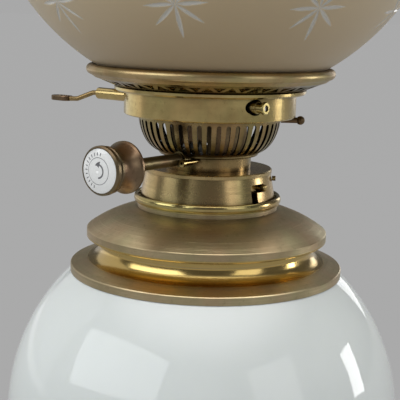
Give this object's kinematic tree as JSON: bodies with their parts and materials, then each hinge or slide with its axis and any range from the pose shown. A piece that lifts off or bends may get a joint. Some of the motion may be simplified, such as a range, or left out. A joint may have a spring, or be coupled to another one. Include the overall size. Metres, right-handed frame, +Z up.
{
  "type": "oil lamp",
  "caption": "Table oil lamp with opal glass globe base, brass drop-in font, twin-wick burner with winder knobs and extinguisher lever, clear chimney and frosted ball shade.",
  "frame": {"origin": "middle of the foot's underside, on the surface that the lamp stands on", "axes": "+Z up along the lamp's axis; the winder knobs point along -Y and the extinguisher lever along -X"},
  "size_m": [0.2014, 0.2014, 0.505],
  "materials": {
    "satin_brass": "brushed, aged to a dull bronze",
    "drawn_brass": "drawn and lightly polished, aged",
    "knob_brass": "turned, toned brown by handling",
    "opal_glass": "glossy opal white",
    "frosted_glass": "acid-frosted with cut stars",
    "clear_glass": "clear, polished",
    "porcelain": "glazed white",
    "steel": "plain turned steel",
    "cast_iron": "as cast",
    "felt": "dark green felt",
    "cotton": "flat woven cotton",
    "plaster": "dry plaster"
  },
  "bodies": {
    "base": {"felt_pad": "felt", "base_plate": "steel", "base_weight": "cast_iron", "foot": "satin_brass", "foot_screws": "steel", "foot_ring": "satin_brass", "foot_cement": "plaster", "globe_body": "opal_glass", "mount_cement": "plaster", "mount_ring": "satin_brass"},
    "font": {"font_vessel": "drawn_brass", "font_shoulder": "satin_brass", "font_collar": "drawn_brass", "collar_pins": "drawn_brass"},
    "burner": {"burner_skirt": "drawn_brass", "skirt_screws": "drawn_brass", "burner_neck": "drawn_brass", "air_basket": "drawn_brass", "burner_band": "drawn_brass", "stop_stud": "drawn_brass", "baffle_plate": "drawn_brass", "wick_tube_right": "drawn_brass", "wick_tube_left": "drawn_brass", "winder_bearing": "drawn_brass", "bearing_screw": "drawn_brass", "front_plate": "drawn_brass", "rear_plate": "drawn_brass", "shaft_bush_right": "drawn_brass", "shaft_bush_left": "drawn_brass"},
    "gallery": {"gallery_base": "drawn_brass", "pierced_gallery": "drawn_brass", "shade_ring": "drawn_brass", "deflector_dome": "drawn_brass", "chimney_prongs": "drawn_brass"},
    "chimney_glass": {"chimney": "clear_glass"},
    "ball_shade": {"shade": "frosted_glass"},
    "front_winder": {"inner_spindle": "steel", "spiked_wheels_right": "steel", "front_knob": "knob_brass", "porcelain_disc": "porcelain"},
    "rear_winder": {"winder_sleeve": "knob_brass", "rear_knob": "knob_brass", "sleeve_gear": "drawn_brass"},
    "idler": {"idler_spindle": "steel", "idler_gear": "drawn_brass", "spiked_wheels_left": "steel"},
    "right_wick": {"wick_right": "cotton"},
    "left_wick": {"wick_left": "cotton"},
    "lever": {"rock_shaft": "steel", "lift_arm": "drawn_brass", "lever_wire": "knob_brass", "thumb_loop": "knob_brass"},
    "extinguisher": {"snuffer_right": "drawn_brass", "snuffer_left": "drawn_brass", "snuffer_bridge": "drawn_brass"}
  },
  "joints": [
    {"name": "font_lift", "type": "slide", "parent": "base", "child": "font", "axis": [0, 0, 1], "range_m": [0, 0.13]},
    {"name": "burner_twist", "type": "hinge", "parent": "font", "child": "burner", "pos_m": [0, 0, 0.205], "axis": [0, 0, 1], "range_deg": [0, 12]},
    {"name": "gallery_lift", "type": "slide", "parent": "burner", "child": "gallery", "axis": [0, 0, 1], "range_m": [0, 0.05]},
    {"name": "chimney_lift", "type": "slide", "parent": "gallery", "child": "chimney_glass", "axis": [0, 0, 1], "range_m": [0, 0.1]},
    {"name": "shade_lift", "type": "slide", "parent": "gallery", "child": "ball_shade", "axis": [0, 0, 1], "range_m": [0, 0.1]},
    {"name": "front_winder_turn", "type": "hinge", "parent": "burner", "child": "front_winder", "pos_m": [0.0036, 0, 0.2199], "axis": [0, -1, 0], "range_deg": [-60, 150]},
    {"name": "rear_winder_turn", "type": "hinge", "parent": "burner", "child": "rear_winder", "pos_m": [0.0036, 0, 0.2199], "axis": [0, -1, 0], "range_deg": [-60, 150]},
    {"name": "idler_turn", "type": "hinge", "parent": "burner", "child": "idler", "pos_m": [-0.0036, 0, 0.2199], "axis": [0, -1, 0], "range_deg": [-151, 61]},
    {"name": "right_wick_feed", "type": "slide", "parent": "burner", "child": "right_wick", "axis": [0, 0, 1], "range_m": [-0.0056, 0.0139]},
    {"name": "left_wick_feed", "type": "slide", "parent": "burner", "child": "left_wick", "axis": [0, 0, 1], "range_m": [-0.0056, 0.0139]},
    {"name": "lever_turn", "type": "hinge", "parent": "burner", "child": "lever", "pos_m": [0, -0.0153, 0.2443], "axis": [1, 0, 0], "range_deg": [0, 60.4]},
    {"name": "extinguisher_rise", "type": "slide", "parent": "burner", "child": "extinguisher", "axis": [0, 0, 1], "range_m": [0, 0.0095]}
  ],
  "couplings": [
    {"joint": "right_wick_feed", "follows": "front_winder_turn", "m_per_rad": 0.00525},
    {"joint": "idler_turn", "follows": "rear_winder_turn", "ratio": -1},
    {"joint": "left_wick_feed", "follows": "rear_winder_turn", "m_per_rad": 0.00525},
    {"joint": "lever_turn", "follows": "extinguisher_rise", "rad_per_m": 110.25}
  ]
}
